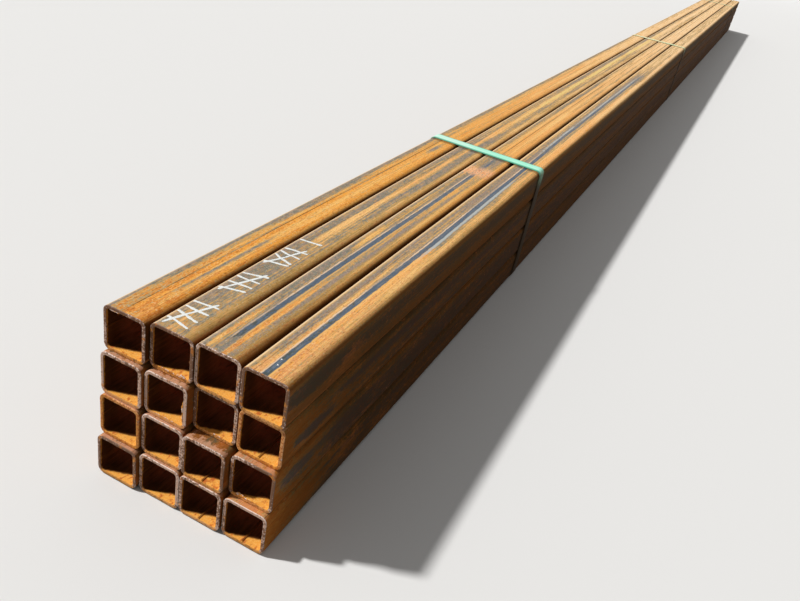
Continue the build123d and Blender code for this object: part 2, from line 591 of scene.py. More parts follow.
def tube_rings(near, far, wall, edge, close_rings):
    """The lengthwise path of a tube's wall: along the skin, over the far end, back up the bore and over
    the near end. Returns each ring's y, its depth and the material of the faces after it.

    The rings stand close together at both mouths and, on the skin, where close_rings says, in metres from
    the near end. Elsewhere they are 250 mm or more apart. The edges of the sawn ends are rounded by edge.
    """
    mouth = np.array([0.6, 2, 5, 9, 14, 20, 28, 40, 60, 90, 140, 200]) * MM
    inside = np.array([0.6, 2, 5, 9, 14, 20, 28, 40, 60, 100, 200, 400]) * MM
    middle = np.concatenate([near + close_rings, np.linspace(near + 1.25, far - 0.3, 24)])
    skin_y = np.concatenate([near + edge + mouth, middle, (far - edge - mouth)[::-1]])
    bore_y = np.concatenate([near + edge + inside, middle[-20::3], (far - edge - inside)[::-1]])[::-1]
    turn = np.array([1.0, 0.3, 0.0])
    face = np.linspace(edge, wall - edge, 4)[1:-1]
    y = [skin_y, far - edge * turn, np.full(len(face), far), far - edge * turn[::-1], bore_y]
    depth = [np.zeros(len(skin_y)), edge * turn[::-1], face, wall - edge * turn, np.full(len(bore_y), wall)]
    y += [near + edge * turn, np.full(len(face), near), near + edge * turn[::-1]]
    depth += [wall - edge * turn[::-1], face[::-1], edge * turn]
    skin, bore, cut = 0, 1, 2
    over_end = [cut] * (2 * len(turn) + len(face))
    patch = [skin] * len(skin_y) + over_end + [bore] * len(bore_y) + over_end
    return np.concatenate(y), np.concatenate(depth), np.array(patch)


def band_sum(across, y, bands):
    """The sum of bands: a bell curve across the wall times a soft window along it."""
    total = np.zeros(np.broadcast(across, y).shape)
    for middle, width, start, stop, amount in bands:
        total += amount * bell(across, middle, width) * window(y, start, stop)
    return total


def wall_rust(row, column, wall, across, y, seed):
    """How far rust covers each point of a wall, from about 0 to about 1: the listed bands on the top walls
    and the right side, and elsewhere a few soft bands whose middles wander along the tube."""
    if (row, wall) == (0, TOP):
        return band_sum(across, y, TOP_BANDS[column])
    if (column, wall) == (COLUMNS - 1, RIGHT):
        return band_sum(across, y, SIDE_BANDS[row])
    random = np.random.default_rng(seed)
    rust = np.full(np.broadcast(across, y).shape, 0.1)
    for band in range(3):
        middle = random.uniform(0.1, 0.9) + 0.05 * smooth_noise(y, 0.9, seed * 7 + band)
        width = random.uniform(0.06, 0.17)
        rust = np.maximum(rust, random.uniform(0.5, 0.9) * bell(across, middle, width))
    return rust


def shelter_round(section, row, column):
    """How sheltered each point round a tube's section is, and how much painted shade it has: 0 on the stack's
    open top, about half on its left side, and most on its shaded right side and between the tubes, less so
    just below the open top."""
    side, up = section.direction.T
    shelter = 0.93 - 0.43 * ramp(-side, 0.1, 0.8) * (column == 0)
    shelter += (0.015 * row - 0.03) * ramp(side, 0.1, 0.8) * (column == COLUMNS - 1)
    below = 0.5 - section.ring(0.0)[:, 1] / section.size
    return shelter * (1 - ramp(up, 0.05, 0.8) * (row == 0)) * (1 - 0.6 * np.exp(-below / 0.10) * (row == 0))


def weld_marks(row, column, weld, y, seed):
    """The weld on the skin at each ring: its place across its wall, how whole its blue is, how bright the
    bare steel beside it is, and on which side of it that steel lies."""
    from_near = y - NEAR_END
    place, side = np.full(len(y), 0.5), np.full(len(y), -1.0)
    if (row, weld) == (0, TOP):
        place = np.interp(from_near, *np.transpose(STRIPE_PLACES[column]))
        blued = np.interp(from_near, *np.transpose(STRIPE_BLUES[column]))
        bright = np.zeros(len(y))
        for start, stop, part_side in BRIGHT_PARTS[column]:
            part = window(from_near, start, stop)
            bright, side = bright + part, np.where(part > 0, part_side, side)
        return place, blued, bright, side
    outside = (weld, column) in ((LEFT, 0), (RIGHT, COLUMNS - 1)) or (weld, row) == (FLOOR, ROWS - 1)
    blued = np.ones(len(y)) if outside else window(from_near, 0.2, END)
    return place, blued, 0.7 * ramp(smooth_noise(y, 0.4, seed), 0, 1), side


def weathering(section, row, column, y, depth, mouth, weld):
    """The numbers from which the materials draw the rust, for each point of a tube or each of its rings.

    across is the distance across a wall in widths of the tube, shoulder the distance along the skin from
    the right shoulder's middle, and turned the angle by which the skin has turned left from facing up.
    """
    seed = row * COLUMNS + column + 1
    top_row, right_column = row == 0, column == COLUMNS - 1
    top = (section.wall == TOP) & top_row
    across = 0.5 - (section.around - section.pitch * np.rint(section.around / section.pitch)) / section.size
    from_near = (y - NEAR_END)[:, None]
    shoulder = section.around - section.pitch / 2
    turned = np.sign(section.around - section.pitch) * np.arccos(np.clip(section.direction[:, 1], -1, 1))

    rust = np.zeros((len(y), len(across)))
    for wall in (RIGHT, TOP, LEFT, FLOOR):
        here = section.wall == wall
        rust[:, here] = wall_rust(row, column, wall, across[here], from_near, seed * 11 + wall)
    rust += 0.35 * bell(shoulder, 0.0, 0.009) * top_row
    rust += np.where(top, 0.0, 0.5) * np.exp(-mouth / 0.05)
    olive = np.maximum(ramp(across, 0.62, 0.9), 0.7 * ramp(-across, -0.30, -0.05) * right_column)
    mauve = window(across, *MAUVE_PARTS[column], 0.05) * ramp(-from_near, -2.8, -2.2)
    straw_middle, straw_width, straw_start, straw_stop = STRAW_STREAK
    straw = bell(across, straw_middle, straw_width) * window(from_near, straw_start, straw_stop, 0.4)
    lost = RIGHT_COLUMN_LOSS[row] if right_column else OTHER_LOSS
    # Painted shade on the right shoulders, which turn away from the key light; near the mouth it is also
    # darker rust
    bend_shade = bell(-turned, 1.12, 0.38) * (1 - SHADE_FADES[column] * ramp(from_near, 0.8, 2.0))
    near_shade = NEAR_SHADES[column] * bell(shoulder, 0.003, 0.007) * np.exp(-from_near / 0.35)
    place, blued, bright, bright_side = weld_marks(row, column, weld, y, seed)
    score_across, score_start, score_stop = SCORES.get((row, column), NO_SCORE)
    floor_middle = FLOOR * section.pitch
    floor_ends = [-section.half, section.half, floor_middle - section.half, floor_middle + section.half]
    tarnish = 0.5 + 0.5 * smooth_noise(section.around, 0.045, seed + 60)
    tarnish += 0.5 * top * (column in DARK_EDGES) - 0.5 * ((row, column) in BRIGHT_ENDS)
    return {
        "seed": seed * 3.7,
        # How much rust there is, and what tints the scale and the rust
        "rust": rust,
        "olive": np.maximum(olive * (section.wall == TOP), bell(shoulder, 0.0, 0.014)),
        "mauve": np.where(top, mauve, -1.0 if top_row else 1.5),
        "straw": straw * top * (column == 1),
        # Paler further from the near end: faded rust, and painted glare on the far tops seen at a grazing
        # angle
        "pale": np.minimum(ramp(from_near, 0.3, 4.5) * 0.9 + PALE_PARTS[column] * top_row, 0.95),
        "fresh": np.exp(-from_near / 0.25),
        # Where the weather is kept off and painted shade falls, and the worn mouths of the walls that face up
        "shelter": shelter_round(section, row, column) * (1 - lost * np.exp(-mouth / 0.07)),
        "bare": np.exp(-mouth / 0.011) * ramp(section.direction[:, 1], 0.2, 0.9) * (row > 0),
        # The top row: a painted highlight on the left shoulders, rust powder, and painted shade on the right
        # shoulders and in the joints
        "shoulder_highlight": bell(turned, 0.60, 0.27) * top_row,
        "rubbed_at": np.where(top, NEAR_END + RUBBED_PLACES[column], NOWHERE),
        "shade": np.minimum(bend_shade + near_shade, 1) * top_row,
        "crevice_shade": ramp(-turned, 0.72, 1.22) * top_row * (not right_column),
        # The weld's stripe and the score, whose places are on the map
        "weld": (weld * section.pitch + (0.5 - place) * section.size)[:, None],
        "blued": blued[:, None],
        "bright": bright[:, None],
        "bright_side": bright_side[:, None],
        "score": window(from_near, score_start, score_stop),
        "score_at": section.pitch + (0.5 - score_across) * section.size,
        # The bore, as far as fresh rust and the painted sunlit patch extend over its floor, and the sawn ends
        "mouth": mouth,
        "rust_and_sunlit_reach": 0.018 * np.interp(section.around, [*floor_ends, section.end], [1.0, 0.2, 0.0, 1.0, 1.0]),
        "through": (depth / bpy.context.scene.tube_settings.wall)[:, None],
        "lip": section.wall == FLOOR,
        "tarnish": tarnish,
        "end_rust": (row, column) in RUSTED_ENDS,
    }


def make_tube(row, column, materials):
    """One tube, in the place of its solid."""
    settings = bpy.context.scene.tube_settings
    node = f"tube_row{row + 1}_column{column + 1}"
    low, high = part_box(node)
    section = Section(high.x - low.x, settings.corner_radius, wall_steps=26, corner_steps=8)
    # The top tubes' bands, stripes and scores need close rings as far as the eye can tell them apart
    close_rings = np.arange(0.24, 1.2, 0.02) if row == 0 else np.array([0.4, 0.7, 1.0])
    y, depth, patch = tube_rings(low.y, high.y, settings.wall, settings.edge_break, close_rings)

    weld = WELD_WALLS[row][column]
    from_weld = np.abs(section.around - weld * section.pitch)
    flash = np.sqrt(np.clip(1 - (from_weld / (settings.flash_width / 2)) ** 2, 0, 1)) * settings.flash_height
    inner = (depth / settings.wall)[:, None]
    deep = depth[:, None] + settings.dish * section.inward * (1 - inner) + flash * (inner > 0.99)
    ring = section.ring(deep)
    points = np.empty((len(y), len(section.around), 3))
    points[..., 0] = (low.x + high.x) / 2 + ring[..., 0]
    points[..., 1] = y[:, None]
    points[..., 2] = (low.z + high.z) / 2 + ring[..., 1]

    mouth = np.minimum(y - low.y, high.y - y)[:, None]
    chip = ragged(section.around, 0.011, 0.003, row * 9 + column, 7)
    inwards = np.where(y < (low.y + high.y) / 2, 1, -1)[:, None]
    points[..., 1] += inwards * settings.chipping * chip * np.exp(-((mouth / (2 * MM)) ** 2))
    attributes = weathering(section, row, column, y, depth, mouth, weld)
    attributes["flash"] = flash / settings.flash_height
    faces = grid_faces(*points.shape[:2], closes=(True, True))
    around, along = np.append(section.around, section.end), np.append(y, y[-1])
    piece = mapped_piece(f"square_{node}", points, faces, around, along, materials, attributes, patch)
    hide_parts(node)


def skin_fields(finish):
    """What the layers of the skin share: its map, its noises, and the sums that several of them read."""
    skin = SimpleNamespace()
    skin.around, skin.along, skin.place = finish.map_place()
    skin.broad = finish.noise(skin.place, (75.0, 1.1, 1.0))
    skin.streak = finish.noise(skin.place, (330.0, 7.0, 1.0), 3.0)
    skin.fine = finish.noise(skin.place, (900.0, 28.0, 1.0))
    skin.blotch = finish.noise(skin.place, (190.0, 95.0, 1.0), 4.0, 0.6)
    skin.grain = finish.noise(skin.place, (470.0, 280.0, 1.0), 3.0, 0.65)
    skin.fleck = finish.step(finish.noise(skin.place, (620.0, 150.0, 1.0)), 0.57, 0.68)
    skin.drift = (finish.noise(skin.place, (0.0, 2.2, 1.0), 1.0) - 0.5) * 0.004
    skin.shelter = finish.attribute("shelter")
    skin.fresh = finish.attribute("fresh")
    skin.weld = finish.attribute("weld")
    skin.tone = skin.fine * 0.4 + skin.blotch * 0.3 + skin.grain * 0.3
    skin.mottle = skin.blotch * 0.6 + skin.grain * 0.4 + finish.attribute("mauve") * 0.045
    uneven = (skin.broad - 0.5) * 0.6 + (skin.streak - 0.5) * 1.3
    uneven = uneven + (skin.blotch - 0.5) * 0.9 + (skin.grain - 0.5) * 1.4
    drawn = finish.noise(skin.place, (720.0, 3.0, 1.0))
    skin.amount = finish.attribute("rust") + uneven + (drawn - 0.5) * 0.9 + 0.14
    skin.thick = finish.step(skin.amount, 0.45, 0.85)
    return skin


def open_skin(finish, skin, colours):
    """The skin in the open: scale, then thin ochre rust, then thick orange rust."""
    olive = finish.attribute("olive") + (skin.streak - 0.5) * 1.2 + (skin.grain - 0.5) * 1.2
    dry = skin.broad * 0.5 + skin.streak * 0.3 + skin.grain * 0.2
    redness = skin.tone + skin.shelter * 0.16 + skin.fresh * 0.09
    worn = skin.blotch + skin.streak
    orange = finish.coat(
        colours.orange_rust,
        (finish.step(dry, 0.46, 0.6), colours.yellow_rust),
        (finish.step(redness, 0.5, 0.64) * 0.75, colours.red_rust),
        # Faded rust, and painted glare further from the near end
        (finish.attribute("pale") * finish.step(worn, 0.7, 1.0), colours.pale_rust),
        (finish.attribute("straw") * finish.step(worn, 0.75, 1.0), colours.straw_rust),
    )
    return finish.coat(
        colours.grey_scale,
        (finish.step(skin.mottle, 0.42, 0.6), colours.mauve_scale),
        (finish.step(olive, 0.2, 0.9), colours.olive_scale),
        (finish.step(skin.amount, 0.14, 0.58) * 0.9, colours.ochre_rust),
        (skin.thick, orange),
    )


def sheltered_skin(finish, skin, colours):
    """The sheltered skin, darkened as painted shade: dark scale and brown rust, worn pale at the mouth of a
    wall that faces up.
    """
    patch = (finish.noise(skin.place, (34.0, 11.0, 1.0), 3.0) - 0.5) * skin.fresh
    bare = finish.attribute("bare") + (skin.blotch - 0.5) * 1.6 + (skin.grain - 0.5) * 1.2
    return finish.coat(
        colours.dark_scale,
        (finish.step(skin.mottle, 0.45, 0.58), colours.plum_scale),
        (finish.step(skin.amount + patch * 4.0, 0.15, 0.75), colours.brown_rust),
        (finish.step(skin.tone + patch * 1.1, 0.52, 0.7) * 0.4, colours.red_rust),
        (finish.step(bare, 0.35, 0.65) * 0.6, colours.cut_steel),
    )


def add_lines(finish, skin, colours, base):
    """Fine dark and pale lines along the tube, and flecks and grains of brown and pale rust."""
    lines = finish.noise(skin.place, (520.0, 0.5, 1.0))
    dark_line = finish.step(lines, 0.63, 0.70) * finish.step(skin.streak, 0.40, 0.55)
    pale_line = finish.step(lines, 0.36, 0.30) * finish.step(skin.streak, 0.60, 0.45)
    pale_grain = finish.step(skin.grain, 0.45, 0.33) * finish.step(skin.shelter, 0.4, 0.0)
    return finish.coat(
        base,
        (dark_line * 0.55, colours.brown_rust),
        (pale_line * 0.45 * (1 - skin.shelter), colours.yellow_rust),
        (skin.fleck * 0.4, colours.brown_rust),
        (finish.step(skin.grain, 0.55, 0.67) * 0.22, colours.brown_rust),
        (pale_grain * 0.4, colours.pale_rust),
    )


def add_weld(finish, skin, colours, base):
    """The weld: a heat-blued stripe with a pale scraped edge on both sides and bare steel beside it. Returns
    where the stripe is too."""
    off = skin.around - skin.weld + skin.drift
    half, soft = colours.weld_width / 2, 0.0007
    edge_off, edge_reach, edge_whole = 0.0010, 0.0018, 0.0006
    bright_off, bright_reach, bright_whole = 0.0022, 0.0034, 0.0014
    frayed = (skin.blotch - 0.5) * 0.005 + (skin.streak - 0.5) * 0.0015
    blued = finish.attribute("blued") + (skin.streak - 0.5) * 1.2 + (skin.blotch - 0.5) * 1.2
    blued = finish.step(blued, 0.3, 0.6)
    in_open = blued * (1 - skin.shelter)
    left_edge = finish.step(abs(off - half - edge_off) + frayed, edge_reach, edge_whole)
    right_edge = finish.step(abs(off + half + edge_off) + frayed, edge_reach, edge_whole)
    from_bright = abs(off - (half + bright_off) * finish.attribute("bright_side")) + frayed
    bright = finish.step(from_bright, bright_reach, bright_whole) * finish.attribute("bright")
    stripe = finish.step(abs(off) + frayed, half + soft, half - soft) * blued
    blue = finish.coat(
        colours.weld_blue,
        (finish.step(skin.fine, 0.50, 0.66) * 0.2, colours.bright_steel),
        (finish.step(skin.blotch + skin.fresh * 0.2, 0.60, 0.74) * 0.8, colours.weld_shade),
        (finish.step(skin.shelter, 0.3, 0.9), colours.dark_scale),
    )
    base = finish.coat(
        base,
        (left_edge * in_open * finish.step(skin.streak, 0.3, 0.55), colours.scarf_pale),
        (right_edge * in_open * 0.6, colours.yellow_rust),
        (bright * in_open * 0.9, colours.bright_steel),
        (stripe * (1 - skin.fleck * 0.3) * 0.95, blue),
    )
    return base, stripe


def add_marks(finish, skin, colours, base):
    """What lies over the rust: a long thin score and rust powder rubbed across a wall, and painted light: a
    painted highlight on the left shoulders, painted shade on the right shoulders and in the joints, and
    painted shadows along the straps' near edges."""
    from_score = abs(skin.around - finish.attribute("score_at") + skin.drift * 0.4)
    score = finish.step(from_score, 0.0012, 0.0003) * finish.attribute("score")
    slant = (skin.around - skin.weld) * 0.1 + (skin.blotch - 0.5) * 0.06
    from_rub = abs(skin.along - finish.attribute("rubbed_at") + slant)
    patchy = finish.step(skin.grain + skin.streak * 0.5 + skin.blotch * 0.5, 0.78, 1.02)
    powder = finish.mix(finish.step(skin.blotch, 0.5, 0.66) * 0.7, colours.rubbed_peach, colours.red_rust)
    # Painted highlight along the left shoulders, which face the key light
    worn = finish.attribute("shoulder_highlight") * finish.step(skin.streak + skin.grain, 0.65, 0.95)
    layers = [
        (score * finish.step(skin.streak, 0.35, 0.5) * 0.8, colours.dark_scale),
        (finish.step(from_rub, 0.042, 0.010) * patchy * 0.9, powder),
        (worn * 0.9, colours.pale_rust),
        # Painted shade on the right shoulders
        (finish.attribute("shade") * 0.8, colours.brown_rust),
        # Painted shade deep in the grooves between the top tubes
        (finish.attribute("crevice_shade") * 0.8, colours.crevice_shade_brown),
    ]
    # Painted shadows along the straps' near edges
    for name in STRAPS:
        from_edge = abs(skin.along - (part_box(name)[0].y - 0.005) + (skin.blotch - 0.5) * 0.004)
        layers.append((finish.step(from_edge, 0.010, 0.002) * 0.55, colours.strap_shadow))
    return finish.coat(base, *layers)


def skin_finish():
    """The rusted skin: grey scale and orange rust in long streaks, with the blued stripe of the weld."""
    colours = bpy.context.scene.tube_settings
    finish = Finish("rusted_skin")
    skin = skin_fields(finish)
    # The sheltered colours carry painted shade on the right side and between the tubes
    base = finish.mix(skin.shelter, open_skin(finish, skin, colours), sheltered_skin(finish, skin, colours))
    base = add_lines(finish, skin, colours, base)
    base, stripe = add_weld(finish, skin, colours, base)
    base = add_marks(finish, skin, colours, base)
    finish.set(Base_Color=base, Roughness=skin.thick * 0.2 + 0.7 - stripe * 0.2, Specular_IOR_Level=0.02)
    finish.set(Normal=finish.bump(skin.grain * 0.45 + skin.blotch * 0.3 + skin.streak * 0.25, 0.0008, 0.8))
    return finish.material


def bore_finish():
    """The inside of a tube: dark scale at the mouth, darkened as painted shade, brown rust further in, and
    orange on the mouth's floor, widening to the right: fresh rust, and a painted sunlit patch."""
    colours = bpy.context.scene.tube_settings
    finish = Finish("bore_rust")
    place = finish.map_place()[2]
    blotch = finish.noise(place, (160.0, 90.0, 1.0), 4.0, 0.6)
    streak = finish.noise(place, (300.0, 8.0, 1.0), 3.0)
    grain = finish.noise(place, (900.0, 700.0, 1.0), 3.0, 0.6)
    # Orange on the mouth's floor: fresh rust, and a painted sunlit patch widening to the right
    within = finish.attribute("rust_and_sunlit_reach") + (blotch - 0.5) * 0.006 - finish.attribute("mouth")
    fresh = finish.step(within, -0.0025, 0.0015)
    deep = finish.step(finish.attribute("mouth") + (streak - 0.5) * 0.03, 0.012, 0.055)
    orange = finish.coat(
        colours.orange_rust,
        (finish.step(grain, 0.45, 0.65), colours.yellow_rust),
        (finish.step(blotch, 0.53, 0.66), colours.red_rust),
    )
    base = finish.coat(
        # Dark scale, darkened as painted shade inside the bore
        colours.bore_scale_and_shade,
        (deep, colours.bore_brown),
        (finish.step(blotch + streak, 0.9, 1.3) * 0.6, colours.brown_rust),
        (fresh, orange),
        (finish.step(finish.attribute("flash"), 0.0, 0.3) * 0.75, colours.brown_rust),
    )
    finish.set(Base_Color=base, Roughness=0.9, Specular_IOR_Level=0.02)
    finish.set(Normal=finish.bump(grain * 0.5 + blotch * 0.5, 0.0006, 0.7))
    return finish.material


def cut_finish():
    """The sawn ends: pale steel with bright edges and brown specks, rusted over on a few tubes."""
    colours = bpy.context.scene.tube_settings
    finish = Finish("sawn_steel")
    where = finish.object_place()
    through = finish.attribute("through")
    speck = finish.noise(where, (330.0, 330.0, 330.0), 3.0, 0.7)
    cloud = finish.noise(where, (110.0, 110.0, 110.0))
    saw = finish.noise(where, (60.0, 60.0, 1500.0), 1.0)
    # Lighter rims: burred steel, and painted highlight on the edges
    outer_rim = finish.step(through + (speck - 0.5) * 0.5, 0.34, 0.14)
    inner_rim = finish.step(abs(through - 0.76), 0.14, 0.04) * 0.6
    tarnished = finish.step(speck + finish.attribute("tarnish") * 0.2, 0.47, 0.61)
    lip = finish.attribute("lip") * finish.step(speck, 0.75, 0.45)
    rusty = finish.step(cloud + finish.attribute("end_rust") * 0.3, 0.58, 0.72)
    rust = finish.mix(finish.step(speck, 0.42, 0.6), colours.orange_rust, colours.red_rust)
    steel = finish.coat(
        colours.cut_steel,
        ((outer_rim + inner_rim) * 0.8, colours.cut_rim),
        (tarnished * 0.85, colours.brown_rust),
        (finish.step(through, 0.86, 0.96) * 0.7, colours.brown_rust),
        (lip * 0.75, colours.orange_rust),
        (rusty * 0.75, rust),
    )
    finish.set(Base_Color=steel, Roughness=0.6, Specular_IOR_Level=0.15)
    finish.set(Normal=finish.bump(speck * 0.7 + saw * 0.3, 0.0006, 0.8))
    return finish.material


class OBJECT_OT_tubes(bpy.types.Operator):
    """Makes the sixteen square tubes with their rust"""

    bl_idname = "object.bundle_tubes"
    bl_label = "Square tubes"

    def execute(self, context):
        materials = [skin_finish(), bore_finish(), cut_finish()]
        for row in range(ROWS):
            for column in range(COLUMNS):
                make_tube(row, column, materials)
        return {"FINISHED"}


# The saw's burrs

# Each burr's row and column, the wall at whose inner edge it stands, its start and end along that edge in
# widths of the bore from the wall's middle, and its height
BURRS = (
    (0, 1, FLOOR, -0.42, 0.12, 2.8 * MM), (0, 1, FLOOR, 0.06, 0.46, 6.0 * MM),
    (1, 1, RIGHT, -0.42, 0.22, 3.4 * MM), (1, 1, FLOOR, -0.30, 0.34, 1.8 * MM),
    (1, 2, FLOOR, -0.05, 0.24, 2.2 * MM), (2, 3, FLOOR, -0.44, 0.14, 3.6 * MM),
    (0, 0, TOP, 0.12, 0.42, 1.5 * MM),
)
BURR_SEED = 300


def burr(row, column, wall, start, stop, height, seed):
    """The points of one burr, rows x loop x 3: a thin ragged fringe on the bore's edge at the near end.

    Its height follows two sizes of noise and falls to nothing at both ends. Its front and back are
    furthest apart at the foot and meet at the top, and it leans in or out by up to half its height.
    """
    settings = bpy.context.scene.tube_settings
    low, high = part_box(f"tube_row{row + 1}_column{column + 1}")
    bore = high.x - low.x - 2 * settings.wall
    outward, tangent = wall_axes(wall)
    share = np.linspace(0, 1, 70)
    along = (start + (stop - start) * share) * bore
    taper = np.clip(np.minimum(share, 1 - share) * 6, 0, 1)
    tall = height * taper * ragged(along, 0.006, 0.0014, seed, seed + 1)
    lean = 0.5 * smooth_noise(along, 0.009, seed + 2)
    rise = across_and_back(0, 1)
    side = np.repeat([-1.0, 1.0], FACE_POINTS) * (1 - rise**2) * (0.15 * MM + 0.12 * height)
    foot = 0.25 * MM * taper[:, None]
    lift = tall[:, None] * rise - foot * (rise == 0)
    y = low.y + 0.4 * MM + side * taper[:, None] + (lean * tall)[:, None] * rise**2
    plan = tangent * along[:, None, None] + outward * (bore / 2 - settings.dish - lift[..., None])
    middle = np.array([(low.x + high.x) / 2, (low.z + high.z) / 2]) + plan
    return np.stack([middle[..., 0], y, middle[..., 1]], -1)


def burr_finish():
    """Torn steel, bright where it is fresh and orange or brown elsewhere."""
    colours = bpy.context.scene.tube_settings
    finish = Finish("torn_steel")
    where = finish.object_place()
    cloud = finish.noise(where, (260.0, 260.0, 260.0), 3.0, 0.6)
    speck = finish.noise(where, (900.0, 900.0, 900.0))
    torn = finish.coat(
        colours.cut_rim,
        (finish.step(cloud, 0.42, 0.52), colours.orange_rust),
        (finish.step(speck, 0.50, 0.62) * 0.8, colours.red_rust),
    )
    finish.set(Base_Color=torn, Roughness=0.7, Specular_IOR_Level=0.3, Normal=finish.bump(speck, 0.0004, 0.6))
    return finish.material


class OBJECT_OT_burrs(bpy.types.Operator):
    """Makes the saw's burrs on a few of the tubes' near ends"""

    bl_idname = "object.bundle_burrs"
    bl_label = "Saw burrs"

    def execute(self, context):
        burrs = [burr(*place, BURR_SEED + 5 * number) for number, place in enumerate(BURRS)]
        pointed_pieces("saw_burrs", burrs, burr_finish())
        return {"FINISHED"}


# The straps

# How many points a straight run and a bend of the band have
RUN_POINTS = 60
BEND_POINTS = 12
# How far before the band meets its own start it begins to climb, and how far before it is up
CLIMB_START = 14 * MM
CLIMB_END = 2 * MM
STRAP_SEED = 90


def strap_path(low, high, settings):
    """The line of a strap's inner face, once round the bundle and over its own start: straight runs joined
    by quarter circles, clockwise seen from the near end, from just below the left side's middle.

    Returns its points (x, z), the outward directions, the distances along it, and how far each point is
    lifted where the band climbs on to its first end.
    """
    thickness, lap, radius = settings.thickness, settings.lap_length, settings.corner_radius
    right, left = high.x - thickness, low.x + 2 * thickness
    top, bottom = high.z - thickness, low.z + thickness
    middle = (top + bottom) / 2
    first, last = (left, middle - lap / 2), (left, middle + lap / 2)
    runs = (
        (first, (left, top - radius), math.pi, (left + radius, top - radius)),
        ((left + radius, top), (right - radius, top), math.pi / 2, (right - radius, top - radius)),
        ((right, top - radius), (right, bottom + radius), 0.0, (right - radius, bottom + radius)),
        ((right - radius, bottom), (left + radius, bottom), -math.pi / 2, (left + radius, bottom + radius)),
        ((left, bottom + radius), last, -math.pi, None),
    )
    points, outward = [], []
    for start, stop, turn, centre in runs:
        share = np.linspace(0, 1, RUN_POINTS, endpoint=centre is None)[:, None]
        normal = np.array([math.cos(turn), math.sin(turn)])
        points.append(np.array(start) * (1 - share) + np.array(stop) * share)
        outward.append(np.repeat([normal], len(share), 0))
        if centre:
            bend = turn - np.linspace(0, math.pi / 2, BEND_POINTS, endpoint=False)
            direction = np.stack([np.cos(bend), np.sin(bend)], 1)
            points.append(np.array(centre) + direction * radius)
            outward.append(direction)
    points, outward = np.concatenate(points), np.concatenate(outward)
    distance = np.append(0, np.cumsum(np.linalg.norm(np.diff(points, axis=0), axis=1)))
    once_round = distance[-1] - lap
    lift = ramp(distance, once_round - CLIMB_START, once_round - CLIMB_END) * thickness
    return points, outward, distance, lift


def band_section(width, thickness, radius):
    """The band's section, a flat rectangle with rounded edges: across and height of points round it."""
    across, height = [], []
    for side, top, turn in ((1, 1, 0.0), (-1, 1, 0.5), (-1, 0, 1.0), (1, 0, 1.5)):
        bend = (turn + np.linspace(0, 0.5, 5)) * math.pi
        across.append(-(side * (width / 2 - radius) + radius * np.cos(bend)))
        height.append((thickness - radius if top else radius) + radius * np.sin(bend))
    return np.concatenate(across), np.concatenate(height)


def make_strap(number, name, material):
    """One strap: the band's section carried along the strap's path, with closed ends."""
    settings = bpy.context.scene.strap_settings
    low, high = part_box(name)
    path, outward, distance, lift = strap_path(low, high, settings)
    across, height = band_section(high.y - low.y, settings.thickness, settings.edge_radius)
    away = height[None] + lift[:, None]
    points = np.empty((len(path), len(across), 3))
    points[..., 0] = path[:, :1] + outward[:, :1] * away
    points[..., 1] = (low.y + high.y) / 2 + across
    points[..., 2] = path[:, 1:] + outward[:, 1:] * away
    first, last = (np.broadcast_to(points[end].mean(0), (1, len(across), 3)) for end in (0, -1))
    points = np.concatenate([first, points, last])
    distance = np.concatenate([[0], distance, distance[-1:]])
    edge = np.hypot(np.diff(across, append=across[0]), np.diff(height, append=height[0]))
    around = np.append(0, np.cumsum(edge))
    facing = np.concatenate([outward[:1], outward, outward[-1:]])[:, None]
    side, rightness = 1 - ramp(facing[..., 1], 0.1, 0.9), ramp(facing[..., 0], -0.6, 0.6)
    lowness = ramp(high.z - points[..., 2], 0.004, 0.08)
    attributes = {
        "seed": STRAP_SEED + number,
        # Grime all round the band's sides, with painted shade on its right and lower sides
        "dirt_and_shade": side * (0.35 + (0.15 + 0.7 * lowness) * rightness),
        "edge": (points[..., 1] - (low.y + high.y) / 2) / ((high.y - low.y) / 2),
        # Painted sheen on the band's top towards the left
        "painted_sheen": ramp(-points[..., 0], -0.02, 0.12) * ramp(facing[..., 1], 0.5, 0.9),
        "dusty": np.maximum(1.3 * (number > 0), 0.6 * side * rightness),
    }
    faces = grid_faces(*points.shape[:2], closes=(False, True))
    piece = mapped_piece(f"green_{name}", points, faces, around, distance, [material], attributes)
    close_poles(piece)
    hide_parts(name)


def band_finish():
    """Green plastic band, scuffed along its length, with rust dust on it, painted shade on its edges, painted
    sheen on its top, and grime and painted shade on its sides.
    """
    colours = bpy.context.scene.strap_settings
    finish = Finish("green_band")
    place = finish.map_place()[2]
    cloud = finish.noise(place, (120.0, 22.0, 1.0), 3.0, 0.6)
    scuff = finish.noise(place, (900.0, 14.0, 1.0), 3.0)
    # Pale scuffs, and painted sheen on the band's top towards the left
    pale = finish.step(scuff * 0.6 + cloud * 0.4 + finish.attribute("painted_sheen") * 0.22, 0.46, 0.66)
    across = finish.attribute("edge") + (scuff - 0.5) * 0.2
    # Painted shade on the band's edges, deepest on the near edge
    edge = finish.step(across, 0.62, 0.9) * 0.6 + finish.step(across, -0.45, -0.8) * 0.85
    dust = finish.attribute("dusty") * finish.step(cloud, 0.3, 0.6) * 0.7
    # Grime, and painted shade on the right and lower sides
    dirt_and_shade = finish.step(finish.attribute("dirt_and_shade") + (cloud - 0.5) * 0.5 + (scuff - 0.5) * 0.4, 0.15, 0.85)
    green = finish.coat(
        colours.band_green,
        (pale * 0.7, colours.band_pale_and_sheen),
        (edge, colours.edge_shade_green),
        (dust, colours.band_dust),
        (dirt_and_shade, colours.band_dirt_and_shade),
    )
    finish.set(Base_Color=green, Roughness=0.6, Specular_IOR_Level=0.03)
    finish.set(Normal=finish.bump(scuff, 0.0002, 0.5))
    return finish.material


